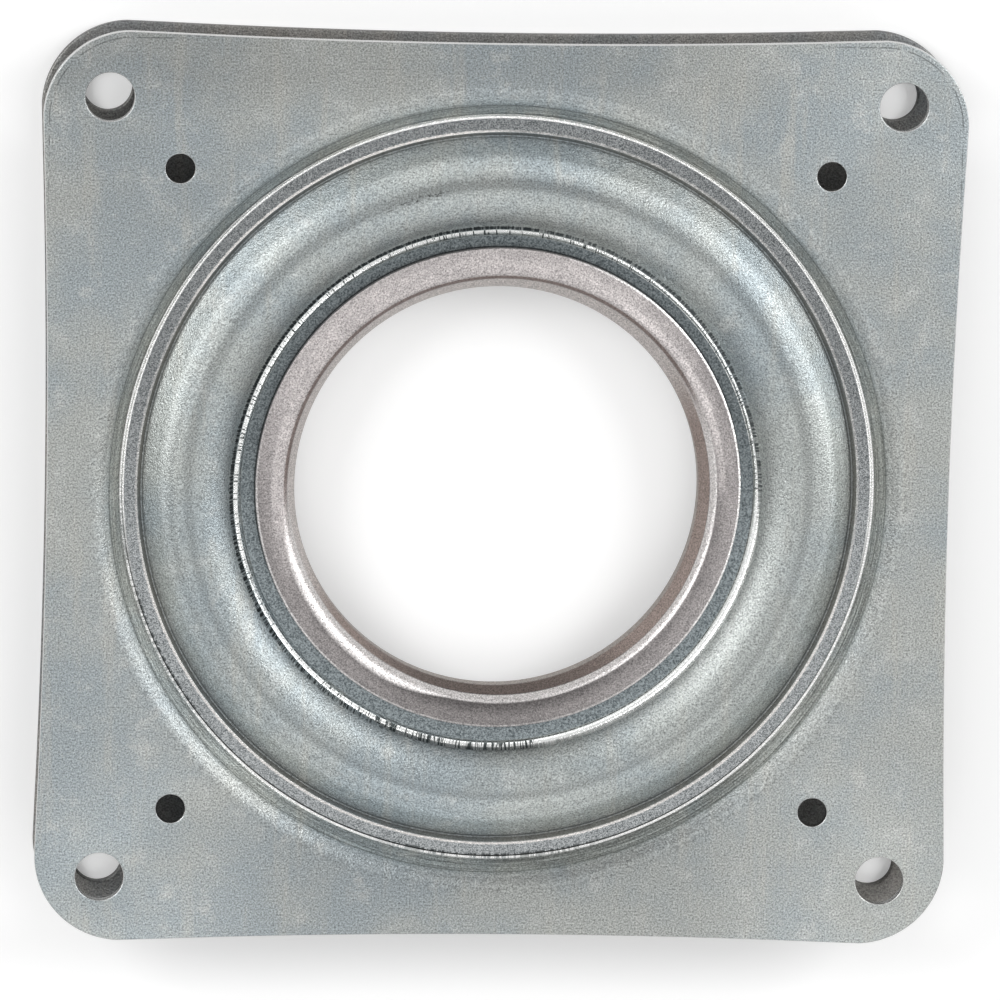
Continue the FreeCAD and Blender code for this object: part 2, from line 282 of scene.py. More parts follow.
# Painted shade: the rear plate's face under the front plate is darkened, where shade falls between
# the plates.
reach = bare.maths("MAXIMUM", abs(bare.x), abs(bare.y))
covered_shade = bare.fall(reach, 35.6, 36.6) * bare.rise(bare.z, SHEET - 0.05, SHEET - 0.02)
colour = bare.shade(colour, 1.0 - covered_shade * 0.25)

# The fold: bare steel with a random tone. It is painted darker as shade over its near half (most
# next to the bead and at the bottom) and on the flanks and outer part of its far half. It is
# painted lighter on its lower right and on the bead at the upper right.
neck = bare.fall(bare.radius, 20.35, 20.6)
bead_way = bare.from_centre(CREST_OFF)
fold_way = bare.from_centre(FOLD_OFF)
near_half_shade = bare.facing(AT_5_30, -0.2, 0.4)
near = bare.facing(AT_6, 0.7, 1.0)
right = bare.facing(AT_4, 0.5, 1.0)
far = bare.facing(AT_11_30, 0.2, 0.8)
bead_side_shade = near_half_shade * bare.fall(bead_way, 18.0, 19.3)
flank_shade = (1 - near_half_shade) * (1 - far) * bare.rise(fold_way, 18.65, 19.0)
outer = (1 - near_half_shade) * bare.rise(fold_way, 19.0, 19.9)
bead_light = (bare.facing(AT_2, 0.75, 0.95)
              * bare.between(bead_way, (18.0, 18.15), (18.55, 18.7)))
tone = bare.noise(bare.round(9, 1.2), 1.0, 4, 0.6)
worn_and_painted_light = bare.mix(bare.rise(tone, 0.35, 0.65), STEEL_DARK, STEEL_PALE)
worn_and_painted_light = bare.shade(worn_and_painted_light, (
    1.08 - near_half_shade * 0.42 - bead_side_shade * 0.28 - near * 0.12 + right * 0.10 - flank_shade * 0.36
    - outer * 0.14 + bead_light * 0.25))

# The mouth of the opening: brown steel, painted darker on its lower right as shade and darker still
# at the bottom, and duller down its throat.
ring_side = bare.facing(AT_5_30, -0.35, 0.1)
inside = bare.fall(bead_way + ring_side * 0.14, 17.50, 17.60)
mouth_shade = bare.shade(MOUTH_BROWN_SHADE, 1.0 - near * 0.5)
mouth_brown_and_shade = bare.mix(bare.facing(AT_5, -0.2, 0.25), MOUTH_STEEL, mouth_shade)
mouth_brown_and_shade = bare.mix(bare.fall(bare.z, 4.25, 4.55), mouth_brown_and_shade, THROAT_BROWN)
worn_and_painted_light = bare.mix(inside, worn_and_painted_light, mouth_brown_and_shade)

# Along the bead, a line of painted shade on the far side. On the near side a painted highlight,
# widest at lower left, where the bead is also rubbed smoother.
highlight_spread = bare.facing(AT_7_30, 0.80, 0.97)
bead_shade_line = bare.between(bead_way, (17.56, 17.66), (17.84, 17.96)) * (1 - ring_side)
bead_rub_and_highlight = (bare.rise(bead_way, 17.40 - 0.06 * highlight_spread, 17.48)
               * bare.fall(bead_way - highlight_spread * 0.38, 17.86, 18.04 + 0.22 * highlight_spread) * ring_side)
worn_and_painted_light = bare.mix(bead_shade_line * 0.85, worn_and_painted_light, BEAD_SHADOW)
worn_and_painted_light = bare.mix(bead_rub_and_highlight * 0.9, worn_and_painted_light, BEAD_HIGHLIGHT)

# The cut edge of the fold, rubbed smoother, with a painted highlight on its far half that is
# brightest towards the upper right.
edge = bare.rise(fold_way, 19.88, 19.95) * neck
edge_rub_and_highlight = (edge * bare.facing(AT_5, -0.8, -0.35)
         * (0.42 + bare.facing(AT_2, 0.2, 0.7) * 0.58 - near * 0.2))
worn_and_painted_light = bare.mix(edge_rub_and_highlight * 0.95, worn_and_painted_light, EDGE_HIGHLIGHT)

sparkle = bare.noise(bare.place, 7.5, 2, 0.7)
worn_and_painted_light = bare.shade(worn_and_painted_light, 1.0 + (sparkle - 0.5) * GRAIN_CONTRAST)
rubbed_and_highlit = edge_rub_and_highlight + bead_rub_and_highlight * 0.8
bare.close(
    bare.mix(neck, colour, worn_and_painted_light),
    roughness + neck * 0.1 - rubbed_and_highlit * 0.26,
    height + neck * (sparkle - 0.5) * 0.03)


def arc(centre, radius, first, last, steps):
    """Points along an arc of a section, from the first angle to the last."""
    turns = [math.radians(first + (last - first) * n / steps) for n in range(steps + 1)]
    return [(centre[0] + radius * math.cos(a), centre[1] + radius * math.sin(a)) for a in turns]


def sheet_faces(bends):
    """The two faces of a bent sheet, drawn bend by bend; the second lies to the right of the way.

    A bend is its centre, the drawn face's radius, the first and last angles, and the steps.
    """
    face = []
    back = []
    for centre, radius, first, last, steps in bends:
        grown = radius + SHEET if last > first else radius - SHEET
        face += arc(centre, radius, first, last, steps)
        back += arc(centre, grown, first, last, steps)
    return face, back


def turned_tree():
    """Geometry nodes that turn a drawn section round the axis."""
    tree = bpy.data.node_groups.new("turned section", "GeometryNodeTree")
    sockets = (
        ("Section", "INPUT", "NodeSocketGeometry"), ("Steps round", "INPUT", "NodeSocketInt"),
        ("Path radius", "INPUT", "NodeSocketFloat"), ("Finish", "INPUT", "NodeSocketMaterial"),
        ("Turned", "OUTPUT", "NodeSocketGeometry"))
    for name, direction, kind in sockets:
        tree.interface.new_socket(name, in_out=direction, socket_type=kind)
    nodes = Nodes(tree)
    section = nodes.add("NodeGroupInput", {}, {})
    steps, radius, finish = [
        nodes.beside(section, name) for name in ("Steps round", "Path radius", "Finish")]
    profile = nodes.add("GeometryNodeMeshToCurve", {}, {"Mesh": section})
    path = nodes.add(
        "GeometryNodeCurvePrimitiveCircle", {}, {"Resolution": steps, "Radius": radius})
    swept = nodes.add("GeometryNodeCurveToMesh", {}, {"Curve": path, "Profile Curve": profile})
    real = nodes.add("GeometryNodeRealizeInstances", {}, {"Geometry": swept})
    done = nodes.add("GeometryNodeSetMaterial", {}, {"Geometry": real, "Material": finish})
    nodes.feed(tree.nodes.new("NodeGroupOutput").inputs["Turned"], done)
    return tree


TURNED_SECTION = turned_tree()


def turned(name, section, closed, finish):
    """A section, drawn in millimetres from the axis, turned once round it into a plain mesh."""
    points = [((r - BALL_ROW) * MM, -z * MM, 0) for r, z in section]
    edges = [(n, n + 1) for n in range(len(points) - 1)]
    if closed:
        edges.append((len(points) - 1, 0))
    drawn = bpy.data.meshes.new(name + "_section")
    drawn.from_pydata(points, edges, [])
    drawing = bpy.data.objects.new(name + "_section", drawn)
    bpy.context.collection.objects.link(drawing)
    sweep = drawing.modifiers.new("turned section", "NODES")
    sweep.node_group = TURNED_SECTION
    values = {"Steps round": STEPS_ROUND, "Path radius": BALL_ROW * MM, "Finish": finish.material}
    for item in TURNED_SECTION.interface.items_tree:
        if item.name in values:
            sweep[item.identifier] = values[item.name]
    seen = drawing.evaluated_get(bpy.context.evaluated_depsgraph_get())
    mesh = bpy.data.meshes.new_from_object(seen)
    bpy.data.objects.remove(drawing)
    mesh.shade_smooth()
    return mesh


def way(angle):
    return Vector((math.cos(angle), math.sin(angle)))


def square_rim():
    """Points round a plate, each with the way out of the sheet: corner arcs and drawn-in sides."""
    reach = PLATE_HALF - PLATE_CORNER
    depth = PLATE_CORNER - PLATE_DRAW_IN
    side = (reach ** 2 + depth ** 2 - PLATE_CORNER ** 2) / (2 * PLATE_DRAW_IN)
    lean = math.asin(reach / (side + PLATE_CORNER))
    quarter = math.pi / 2
    rim = []
    for number in range(4):
        turn = quarter * number
        middle = way(turn + quarter / 2) * reach * math.sqrt(2)
        for n in range(CORNER_STEPS + 1):
            out = way(turn + lean + (quarter - 2 * lean) * n / CORNER_STEPS)
            rim.append((middle + out * PLATE_CORNER, out))
        middle = way(turn + quarter) * (PLATE_HALF - PLATE_DRAW_IN + side)
        for n in range(1, SIDE_STEPS):
            out = -way(turn + 3 * quarter + lean - 2 * lean * n / SIDE_STEPS)
            rim.append((middle - out * side, out))
    return rim


def round_rim(centre, radius, steps):
    """Points round a hole, each with the way out of the sheet, which is towards its middle."""
    ways = [way(math.tau * n / steps) for n in range(steps)]
    return [(Vector(centre) + out * radius, -out) for out in ways]


def four_holes(offset, bore):
    return [((x * offset, y * offset), bore / 2) for x in (-1, 1) for y in (-1, 1)]


def square_part(bottom, holes):
    """The flat part of a plate, from its edge in to the turned pan, with its holes."""
    verts = []
    faces = []
    loops = []
    quarter = [math.pi / 2 * n / ROLL_STEPS for n in range(ROLL_STEPS + 1)]
    roll = [(EDGE_ROLL * (math.sin(a) - 1), EDGE_ROLL * (1 - math.cos(a))) for a in quarter]
    wall = [(inset, bottom + SHEET - drop) for inset, drop in roll]
    wall += [(inset, bottom + drop) for inset, drop in reversed(roll)]
    for rim in [square_rim()] + [round_rim(*hole, HOLE_STEPS) for hole in holes]:
        first = len(verts)
        count = len(rim)
        for inset, height in wall:
            verts += [(*(point + out * inset), height) for point, out in rim]
        for start in range(first, len(verts) - count, count):
            for n in range(count):
                after = (n + 1) % count
                faces.append((start + n, start + after, start + count + after, start + count + n))
        loops.append((first, len(verts) - count, count))
    pan = round_rim((0, 0), PAN_EDGE, STEPS_ROUND)
    loops.append((len(verts), len(verts) + len(pan), len(pan)))
    for height in (bottom + SHEET, bottom):
        verts += [(*point, height) for point, out in pan]
    walls = len(faces)
    for side in range(2):
        index = []
        edges = []
        owner = []
        for number, loop in enumerate(loops):
            start = len(index)
            count = loop[2]
            index += range(loop[side], loop[side] + count)
            owner += [number] * count
            edges += [(start + n, start + (n + 1) % count) for n in range(count)]
        points = [Vector(verts[n][:2]) for n in index]
        flat = delaunay_2d_cdt(points, edges, [], INSIDE_THE_EDGES, SAME_POINT)
        for corners in flat[2]:
            given = [flat[3][n][0] for n in corners]
            # Three points of one round rim lie inside its hole.
            if owner[given[0]] == owner[given[1]] == owner[given[2]] > 0:
                continue
            faces.append(tuple(index[n] for n in given))
    mesh = bpy.data.meshes.new("square part")
    mesh.from_pydata([Vector(v) * MM for v in verts], [], faces)
    mesh.update()
    for face in mesh.polygons:
        face.use_smooth = face.index < walls
    return mesh


def piece_of(name, meshes):
    """One closed piece from its meshes: doubles merged, faces outward, soft only over bends."""
    made = bmesh.new()
    for mesh in meshes:
        made.from_mesh(mesh)
    bmesh.ops.remove_doubles(made, verts=made.verts, dist=SEAM_GAP * MM)
    bmesh.ops.recalc_face_normals(made, faces=made.faces)
    whole = bpy.data.meshes.new(name)
    made.to_mesh(whole)
    made.free()
    whole.set_sharp_from_angle(angle=math.radians(SHARP_EDGE))
    whole.materials.append(meshes[0].materials[0])
    piece = bpy.data.objects.new(name, whole)
    bpy.context.collection.objects.link(piece)
    return piece


face, back = sheet_faces([
    # From the flat up into the pan, and level again.
    ((PAN_START, PAN_BEND), PAN_BEND, 270, 180 + PAN_SLOPE, 8),
    ((31.0, 1.5), 0.4, PAN_SLOPE, 90, 5),
    # Down into the ball groove, round it, and up to the shoulder.
    ((28.35, 1.65), 0.25, 90, GROOVE_OUTER_SLOPE, 4),
    (BALL_CENTRE, GROOVE_BACK, 180 + GROOVE_OUTER_SLOPE, 180 + GROOVE_INNER_SLOPE, 24),
    ((22.2, 3.39), 0.25, GROOVE_INNER_SLOPE, 90, 5),
])
# The shoulder's inner edge, the mouth of the opening, the neck, and the crest of the fold.
face += arc((19.0, 3.24), 0.40, 90, 115, 3)
face += arc((17.15, 3.15), 0.40, 295, 176, 8)
face += arc((17.85, 4.15), 1.1, 176, 153, 4)
face += arc((18.481, 5.651), 0.989, 153, 78, 10)
# The inside of the fold, which closes round the cap ring, and its cut edge.
back += arc((18.24, FOLD_UNDERSIDE - SHEET / 2), SHEET / 2, 270, 90, 16)
broken = FOLD_EDGE - FOLD_EDGE_BREAK
cut_edge = arc((broken, FOLD_TOP - FOLD_EDGE_BREAK), FOLD_EDGE_BREAK, 90, 0, ROLL_STEPS)
cut_edge += arc((broken, FOLD_UNDERSIDE + FOLD_EDGE_BREAK), FOLD_EDGE_BREAK, 0, -90, ROLL_STEPS)
section = [(PAN_EDGE, 0.0)] + face + cut_edge + back[::-1] + [(PAN_EDGE, SHEET)]
ring = turned("rear_pressing", section, False, bare)
# The rolling left the crest, and the flat outside it, a little off the axis.
for vert in ring.vertices:
    out = vert.co.xy.length / MM
    up = vert.co.z / MM
    if out < CREST_EDGE and up > CREST_FOOT:
        vert.co.xy += Vector(CREST_OFF) * min(1.0, (up - CREST_FOOT) / CREST_RISE) * MM
    elif CREST_EDGE <= out < FOLD_EDGE + FOLD_EDGE_BREAK and up > FOLD_FOOT:
        vert.co.xy += Vector(FOLD_OFF) * MM
rear = piece_of("rear_pressing", [
    ring,
    square_part(0.0, four_holes(CORNER_HOLES, CORNER_HOLE_BORE))])
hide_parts("rear_plate")
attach(rear, "base")


# BALLS
# Hardened and polished steel balls that run loose in grease between the two grooves.
# Nothing but the grooves holds them, so they roll round at half the turn of the plate.

BALL_DARK = rgb(0.52, 0.52, 0.53)
BALL_PALE = rgb(0.62, 0.62, 0.63)

polished = Finish("ball steel")
lap = polished.noise(polished.place, 1.6, 3, 0.5)
polished.close(polished.mix(lap, BALL_DARK, BALL_PALE), 0.09 + lap * 0.08, (lap - 0.5) * 0.001)
for name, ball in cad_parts.items():
    if name.startswith("ball_"):
        for place in ball.material_slots:
            place.material = polished.material


# FRONT PLATE
# The plate that turns: the same pressing as the rear one, with four small holes more. Its
# pan runs down between the flat and the cap ring, and its rim forms the upper ball groove.

FRONT_FACE = 7.94
SMALL_HOLES = 26.7
SMALL_HOLE_BORE = 2.4
WALL_SLOPE = 52.73
RIM_SLOPE = 30.94
RIM_BEND = (29.32, 5.60)

AT_4_20 = (0.77, -0.64)
AT_8_20 = (-0.94, -0.34)
AT_12 = (0, 1)

WALL_TINT = (1.0, 1.0, 0.975)
DRAG_DARK = rgb(0.07, 0.075, 0.075)
SCRIBE_DARK = rgb(0.12, 0.13, 0.12)
ARRIS_HIGHLIGHT = rgb(0.88, 0.88, 0.87)


def gap_ticks(finish):
    """The two lower sides where ticks break the arrises, and on the cap darken them as painted
    shade of the gap between the parts; and the tick noise.
    """
    gap_sides = finish.facing(AT_8_20, 0.90, 0.98) + finish.facing(AT_6, 0.93, 0.985)
    ticks = finish.noise(finish.round(125, 0.5), 1.0, 2, 0.6)
    return gap_sides, ticks


zinc = Finish("front zinc")
colour, roughness, height = galvanised(zinc)
gap_sides, ticks = gap_ticks(zinc)
lower_right = zinc.facing(AT_4_20, 0.5, 1.0)

# The flat: painted shade along its far side but for the right end, in the middle of its near side
# and at its far left corner. Painted light at the other three corners.
across = abs(zinc.x)
flat_shade = zinc.rise(zinc.y, 30.5, 35) * zinc.fall(zinc.x, 8, 24) * 0.15
flat_shade = flat_shade + zinc.rise(-zinc.y, 24, 31) * zinc.fall(across, 14, 26) * 0.15
left_back = zinc.rise(-zinc.x, 15, 25) * zinc.rise(zinc.y, 15, 25)
flat_light = zinc.rise(across, 20, 30) * zinc.rise(abs(zinc.y), 20, 30) * (1 - left_back)
colour = zinc.shade(colour, 1.0 - flat_shade + flat_light * 0.1 - left_back * 0.06)

# A broken line that the press dragged round the two far corners.
corner_x = zinc.maths("MAXIMUM", across - (PLATE_HALF - PLATE_CORNER), 0.0)
corner_y = zinc.maths("MAXIMUM", zinc.y - (PLATE_HALF - PLATE_CORNER), 0.0)
corner_way = (corner_x ** 2 + corner_y ** 2) ** 0.5
broken = zinc.rise(zinc.noise(zinc.place, 0.6, 3, 0.6), 0.42, 0.52)
dragged = (zinc.between(corner_way, (6.62, 6.68), (6.72, 6.78)) * broken
           * zinc.rise(across, 24, 29) * zinc.rise(zinc.y, 22, 28))
colour = zinc.mix(dragged * 0.6, colour, DRAG_DARK)

# The wall down to the cap ring: drawn lines, painted shade at its lower right, and a scribed line
# along its top. The bend there is painted lighter just outside the scribed line and on the far
# side, and darker at its lower right.
wall = zinc.ring(31.2, 32.1, 0.05)
bend = zinc.ring(31.9, 34.4, 0.5)
lines = zinc.noise(zinc.round(4, 11), 1.0, 2, 0.6)
drawn_wall = zinc.shade(
    zinc.tint(colour, WALL_TINT), 1.12 - lower_right * 0.35 + (lines - 0.5) * 2.0)
colour = zinc.mix(wall, colour, drawn_wall)
colour = zinc.mix(zinc.ring(32.08, 32.16, 0.03) * 0.45, colour, SCRIBE_DARK)
back_lit = zinc.ring(32.35, 32.9, 0.15) * zinc.facing(AT_12, 0.3, 0.8)
colour = zinc.shade(colour, (
    1.0 + zinc.ring(32.16, 32.5, 0.08) * 0.25 + back_lit * 0.3
    - zinc.ring(32.2, 33.1, 0.15) * lower_right * 0.3))

# Painted highlights, on metal also rubbed smoother: the arris at the wall's foot, broken by ticks
# at the two lower sides, and the plate's outer cut edge.
rubbed_and_highlit = zinc.ring(30.9, 31.24, 0.03) * (1 - gap_sides * zinc.rise(ticks, 0.44, 0.52) * 0.85)
cut_edge = zinc.rise(zinc.radius, 35.0, 35.2) * zinc.between(
    zinc.z, (FRONT_FACE - SHEET, FRONT_FACE - 0.85), (FRONT_FACE - 0.07, FRONT_FACE - 0.01))
rubbed_and_highlit = rubbed_and_highlit + cut_edge
colour = zinc.mix(rubbed_and_highlit, colour, ARRIS_HIGHLIGHT)

peel = zinc.noise(zinc.place, 3.2, 2, 0.5)
zinc.close(
    colour,
    roughness + wall * 0.08 - rubbed_and_highlit * 0.26,
    height + bend * (peel - 0.5) * 0.035 + wall * (lines - 0.5) * 0.02)

groove, groove_back = sheet_faces([
    (BALL_CENTRE, GROOVE_BACK, 138.0, RIM_SLOPE, 22),
    (RIM_BEND, 1.40, 180 + RIM_SLOPE, 270 + WALL_SLOPE, 16),
])
pan, pan_back = sheet_faces([
    ((PAN_START, FRONT_FACE - PAN_BEND), PAN_BEND, 90 + WALL_SLOPE, 90, 14),
])
ledge = [(31.02, 5.66)] + arc((31.07, 5.79), 0.05, 180, 90, 3)
foot = arc((31.15, 6.06), 0.22, 270, 270 + WALL_SLOPE, 5)
upper_face = groove + ledge + foot + pan + [(PAN_EDGE, FRONT_FACE)]
section = upper_face[::-1] + groove_back + pan_back + [(PAN_EDGE, FRONT_FACE - SHEET)]
front = piece_of("front_pressing", [
    turned("front_pressing", section, False, zinc),
    square_part(FRONT_FACE - SHEET,
                four_holes(CORNER_HOLES, CORNER_HOLE_BORE)
                + four_holes(SMALL_HOLES, SMALL_HOLE_BORE))])
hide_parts("front_plate")
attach(front, "turntable")


# CAP RING
# A ring of the same sheet that holds the two plates together: its inner band lies under the
# fold of the rear plate, its ridge arches over the balls, and its outer lip is turned up, so
# that the grainy sheared edge of the sheet faces the viewer.

CREST = 4.2
VALLEY = 0.4115
BAND_END = 18.35
LIP_START = 30.5
LIP_OFF_CENTRE = 0.12
ROLLER_OFF = (-0.1, 0.0)

AT_6_10 = (-0.1, -0.995)
AT_8_10 = (-0.914, -0.407)
AT_9_30 = (-0.97, 0.24)
AT_10 = (-0.87, 0.5)
AT_11 = (-0.5, 0.87)
AT_11_05 = (-0.47, 0.883)
AT_11_25 = (-0.29, 0.957)

CAP_TINT = (1.01, 1.03, 1.04)
SLATE_DARK = rgb(0.045, 0.055, 0.06)
SLATE_PALE = rgb(0.25, 0.28, 0.29)
FOLD_SHADOW_BLACK = rgb(0.02, 0.022, 0.022)
COMB_DARK = rgb(0.06, 0.07, 0.07)
COMB_HIGHLIGHT = rgb(0.88, 0.89, 0.88)
SHADE_AND_TICK_DARK = rgb(0.025, 0.03, 0.032)
SCUFF_DARK = rgb(0.05, 0.05, 0.05)
CREASE_SHADE = rgb(0.08, 0.085, 0.085)
LIP_BROWN_SHADE = rgb(0.22, 0.175, 0.14)
TORN_DARK = rgb(0.05, 0.058, 0.062)
TORN_PALE = rgb(0.42, 0.435, 0.44)
BURNISH_HIGHLIGHT = rgb(0.70, 0.68, 0.66)
GAP_SHADE_TICKS = rgb(0.04, 0.045, 0.045)
LIP_HIGHLIGHT = rgb(0.90, 0.90, 0.89)

cap_zinc = Finish("cap zinc")
colour, roughness, height = galvanised(cap_zinc)
colour = cap_zinc.tint(colour, CAP_TINT)
gap_sides, ticks = gap_ticks(cap_zinc)
upper = cap_zinc.facing(AT_12, -0.3, 0.4)
back = cap_zinc.facing(AT_12, 0.90, 0.98)

# The inner band: speckled, and painted dark slate grey as shade under the fold, darker still on the
# far half. Along the fold's edge on the far side runs a black line of painted shadow.
band = cap_zinc.fall(cap_zinc.radius, 21.18, 21.28)
speckle = cap_zinc.noise(cap_zinc.place, 6.5, 2, 0.7)
slate_shade = cap_zinc.mix(cap_zinc.rise(speckle, 0.25, 0.75), SLATE_DARK, SLATE_PALE)
colour = cap_zinc.mix(band, colour, cap_zinc.shade(slate_shade, 1.35 - upper * 0.45))
# Painted shadow: a black line along the fold's edge, on the far side only.
fold_edge_shadow = cap_zinc.fall(cap_zinc.from_centre(FOLD_OFF), 20.16, 20.26)
fold_edge_shadow = fold_edge_shadow * cap_zinc.facing(AT_11_30, -0.35, 0.1)
colour = cap_zinc.mix(fold_edge_shadow * 0.8, colour, FOLD_SHADOW_BLACK)

# The comb line along the step: a painted highlight between its dark ticks, solid at lower right, on
# metal also rubbed smoother.
left = cap_zinc.facing(AT_10, 0.2, 0.7)
solid = cap_zinc.facing(AT_4_20, 0.74, 0.90)
bottom = cap_zinc.facing(AT_6_10, 0.90, 0.97)
thin = cap_zinc.facing(AT_8_10, 0.985, 0.997)
rolled = cap_zinc.from_centre(ROLLER_OFF) + upper * 0.2
outer_way = rolled - solid * 0.34 - bottom * 0.28
comb_line = cap_zinc.rise(rolled, 21.44, 21.50) * cap_zinc.fall(outer_way, 21.77, 21.84)
comb = cap_zinc.rise(ticks + solid + (1 - bottom) * 0.08, 0.45, 0.52)
comb_ticks_and_highlight = cap_zinc.mix(comb, COMB_DARK, COMB_HIGHLIGHT)
colour = cap_zinc.mix(comb_line * (0.95 - thin * 0.5), colour, comb_ticks_and_highlight)

# Beside the comb line: painted shade in the valley, strongest on the far and left sides and ragged
# where its ticks end. Dark tick teeth on the near half, and dashes of painted shade inside the line
# on the near half.
ragged = rolled - (ticks - 0.5) * 0.35
valley_shade_and_ticks = cap_zinc.rise(rolled, 21.82, 21.88) * cap_zinc.fall(ragged, 22.08, 22.18)
valley_shade_and_ticks = valley_shade_and_ticks * (1 - solid) * (0.25 + upper * 0.75 + left * 0.5)
valley_shade_and_ticks = valley_shade_and_ticks * (0.5 + cap_zinc.rise(ticks, 0.40, 0.52) * 0.5)
teeth = (cap_zinc.rise(ticks, 0.48, 0.53) * cap_zinc.rise(rolled, 21.80, 21.84)
         * cap_zinc.fall(ragged, 22.10, 22.18) * (1 - upper) * (1 - solid) * (1 - bottom * 0.5))
dash_shade = (cap_zinc.rise(ticks, 0.45, 0.5)
          * cap_zinc.between(rolled, (21.33, 21.36), (21.43, 21.46)) * (1 - upper))
colour = cap_zinc.mix(valley_shade_and_ticks * 0.9 + teeth * 0.65 + dash_shade * 0.85, colour, SHADE_AND_TICK_DARK)

# The ridge: a crest painted darker as shade, most at the back. Its outer slope is painted lighter
# at the back and away from the far side, and darker at the left. A few scuffs lie at the back.
crest_shade = (cap_zinc.rise(cap_zinc.radius, 25.0, 25.55)
              * cap_zinc.fall(cap_zinc.radius - upper * 0.25, 25.7, 26.2))
colour = cap_zinc.shade(colour, (
    1 - crest_shade * (0.2 + back * 0.12) + cap_zinc.ring(26.7, 27.9, 0.3) * back * 0.28))
scuffs = cap_zinc.noise(cap_zinc.round(70, 6), 1.0, 3, 0.7)
scuffed_side = (cap_zinc.facing(AT_11_25, 0.993, 0.997)
                + cap_zinc.facing(AT_11_05, 0.994, 0.999) * 0.5)
scuffed = (cap_zinc.rise(scuffs, 0.52, 0.60) * cap_zinc.ring(25.15, 25.6, 0.15)
           * scuffed_side)
colour = cap_zinc.mix(scuffed * 0.85, colour, SCUFF_DARK)
slope_light = cap_zinc.ring(27.3, 28.8, 0.4) * (1 - cap_zinc.facing(AT_12, 0.2, 0.5) * 0.75)
leftmost = cap_zinc.facing(AT_9_30, 0.80, 0.95) * cap_zinc.ring(26.9, 28.8, 0.3)
colour = cap_zinc.shade(colour, 1.0 + slope_light * 0.38 - leftmost * 0.2)

# Painted shade in the crease outside the ridge, more at lower right. The lip's wall is brownish and
# painted darker as shade.
lower_right = cap_zinc.facing(AT_5, -0.3, 0.4)
crease = cap_zinc.ring(29.3, 29.5, 0.06)
colour = cap_zinc.mix(crease * (0.5 + lower_right * 0.2), colour, CREASE_SHADE)
colour = cap_zinc.mix(cap_zinc.ring(29.5, 29.8, 0.05) * 0.4, colour, LIP_BROWN_SHADE)

# The sheared edge of the lip: torn and grainy, painted darker on the far half. It is burnished
# inside, with a painted highlight there, full at the near side and far left. On the arris: dark
# ticks of painted gap shade at the two lower sides, and a painted highlight on the far half.
shear = cap_zinc.rise(cap_zinc.radius, 29.78, 29.84)
torn = cap_zinc.noise(cap_zinc.place, 9, 2, 0.7)
whole = cap_zinc.facing(AT_6, 0.1, 0.4) + cap_zinc.facing(AT_11, 0.84, 0.95)
burnish_and_highlight = cap_zinc.fall(cap_zinc.radius - (ticks - 0.5) * 0.25, 29.93, 30.03)
burnish_and_highlight = burnish_and_highlight * (0.25 + cap_zinc.rise(torn, 0.52, 0.60) * 0.5 + whole)
cut = cap_zinc.mix(cap_zinc.rise(torn, 0.25, 0.75), TORN_DARK, TORN_PALE)
cut = cap_zinc.mix(burnish_and_highlight, cap_zinc.shade(cut, 1.25 - upper * 0.42), BURNISH_HIGHLIGHT)
lip_way = cap_zinc.radius - cap_zinc.y / cap_zinc.radius * LIP_OFF_CENTRE
arris = cap_zinc.rise(lip_way + back * 0.06, 30.86, 30.91)
ticked_gap_shade = arris * gap_sides * cap_zinc.rise(ticks, 0.44, 0.5)
cut = cap_zinc.mix(ticked_gap_shade * 0.8, cut, GAP_SHADE_TICKS)
arris = arris * cap_zinc.facing(AT_12, -0.35, 0.1)
cut = cap_zinc.mix(arris, cut, LIP_HIGHLIGHT)
colour = cap_zinc.mix(shear, colour, cut)

peel = cap_zinc.noise(cap_zinc.place, 3.2, 2, 0.5)
ridge = cap_zinc.ring(22.3, 29.3, 0.4)
height = (height + ridge * ((peel - 0.5) * 0.012 + (speckle - 0.5) * 0.02)
          + shear * (torn - 0.5) * 0.04 * (1 - burnish_and_highlight * 0.7)
          + valley_shade_and_ticks * (ticks - 0.5) * 0.04)
roughness = roughness - comb_line * 0.22 - shear * (burnish_and_highlight + arris) * 0.24
cap_zinc.close(colour, roughness, height)

# The ridge is drawn fuller outside its crest than its inside, which follows the balls.
under = arc(BALL_CENTRE, CREST - SHEET, 147, RIM_SLOPE, 36)
under += arc(RIM_BEND, 0.25 + SHEET, 180 + RIM_SLOPE, 335, 8)
inner_band = [(BAND_END, FOLD_UNDERSIDE)] + arc((21.62, 5.80), VALLEY, -157, -29.6, 12)
ridge_top = arc(BALL_CENTRE, CREST, 147, 50, 32) + arc((29.427, 5.654), 0.12, 230, 335, 6)
lip_top = arc((29.85, 5.97), 0.11, 155, 90, 5) + arc((30.98, 6.01), 0.06, 90, -60, 6)
band_under = [(r, FOLD_UNDERSIDE - SHEET) for r in (21.87, BAND_END)]
section = inner_band + ridge_top + lip_top + under[::-1] + band_under
ring = turned("cap_pressing", section, True, cap_zinc)
# The lip was trimmed a little off the axis, towards its far side.
for vert in ring.vertices:
    if vert.co.xy.length > LIP_START * MM:
        out = vert.co.xy.normalized()
        vert.co.xy += out * LIP_OFF_CENTRE * MM * out.y
cap = piece_of("cap_pressing", [ring])
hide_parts("cap_ring")
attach(cap, "base")


# STUDIO
# A white table under the bearing, two soft boxes above it to the left and right, a wide
# fill from the near side, and the camera nearly overhead.

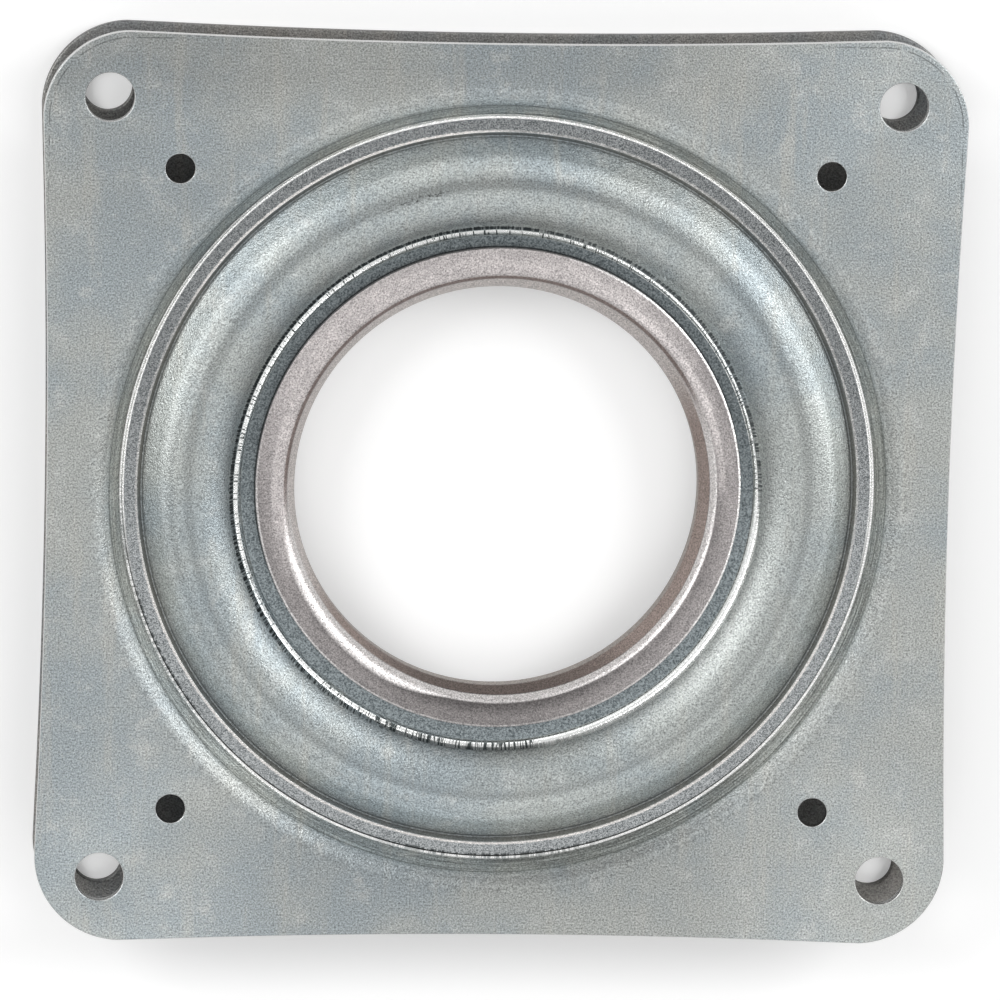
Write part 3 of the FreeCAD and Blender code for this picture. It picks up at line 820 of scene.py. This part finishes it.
# Sizes in metres here, and power in watts.
BOX_DISTANCE = 0.5
BOX_WIDTH = 0.22
BOX_POWER = 1.0
FILL_DISTANCE = 0.6
FILL_WIDTH = 0.4
FILL_POWER = 0.6
TABLE_REACH = 2
TABLE_WHITE = rgb(0.8, 0.8, 0.8)
TABLE_GLOW = rgb(0.27, 0.27, 0.27)
TABLE_ROUGHNESS = 0.9
BLACK = rgb(0, 0, 0)
WHITE = rgb(1, 1, 1)
SKY_LIGHT = 0.52
SKY_MORE_SEEN = 0.48
SKY_MORE_MIRRORED = 0.25
LENS_LENGTH = 276.78
CAMERA_PLACE = (-0.0499, 0.11416, 0.62842)
CAMERA_TURNS = (-10.468, -4.524, 0.524)


def lamp(name, direction, distance, width, power):
    light = bpy.data.lights.new(name, "AREA")
    light.size = width
    light.energy = power
    holder = bpy.data.objects.new(name, light)
    holder.location = Vector(direction).normalized() * distance
    holder.rotation_euler = holder.location.to_track_quat("Z", "Y").to_euler()
    bpy.context.collection.objects.link(holder)


lamp("right_box", (0.74, 0.33, 0.575), BOX_DISTANCE, BOX_WIDTH, BOX_POWER)
lamp("left_box", (-0.71, 0.36, 0.60), BOX_DISTANCE, BOX_WIDTH, BOX_POWER)
lamp("near_fill", (0.05, -0.62, 0.78), FILL_DISTANCE, FILL_WIDTH, FILL_POWER)

table_top = bpy.data.materials.new("white table")
table_top.use_nodes = True
nodes = Nodes(table_top.node_tree)
shader = table_top.node_tree.nodes["Principled BSDF"]
shader.inputs["Base Color"].default_value = TABLE_WHITE
shader.inputs["Roughness"].default_value = TABLE_ROUGHNESS
shader.inputs["Emission Strength"].default_value = 1.0
seen = nodes.add("ShaderNodeLightPath", {}, {}, "Is Camera Ray")
nodes.feed(shader.inputs["Emission Color"], nodes.mix(seen, BLACK, TABLE_GLOW))
mesh = bpy.data.meshes.new("table")
corners = [(-1, -1), (1, -1), (1, 1), (-1, 1)]
mesh.from_pydata([(x * TABLE_REACH, y * TABLE_REACH, 0) for x, y in corners], [], [(0, 1, 2, 3)])
mesh.materials.append(table_top)
table = bpy.data.objects.new("table", mesh)
bpy.context.collection.objects.link(table)

world = bpy.data.worlds.new("studio")
world.use_nodes = True
nodes = Nodes(world.node_tree)
sky = world.node_tree.nodes["Background"]
seen = nodes.add("ShaderNodeLightPath", {}, {}, "Is Camera Ray")
mirrored = nodes.beside(seen, "Is Glossy Ray")
white = nodes.maths("MAXIMUM", seen, nodes.beside(seen, "Is Transmission Ray"))
strength = SKY_LIGHT + white * SKY_MORE_SEEN + mirrored * SKY_MORE_MIRRORED
nodes.feed(sky.inputs["Strength"], strength)
sky.inputs["Color"].default_value = WHITE
bpy.context.scene.world = world

lens = bpy.data.cameras.new("camera")
lens.lens = LENS_LENGTH
camera = bpy.data.objects.new("camera", lens)
camera.location = CAMERA_PLACE
camera.rotation_mode = "ZYX"
camera.rotation_euler = [math.radians(turn) for turn in CAMERA_TURNS]
bpy.context.collection.objects.link(camera)
bpy.context.scene.camera = camera
bpy.context.scene.view_settings.view_transform = "Standard"
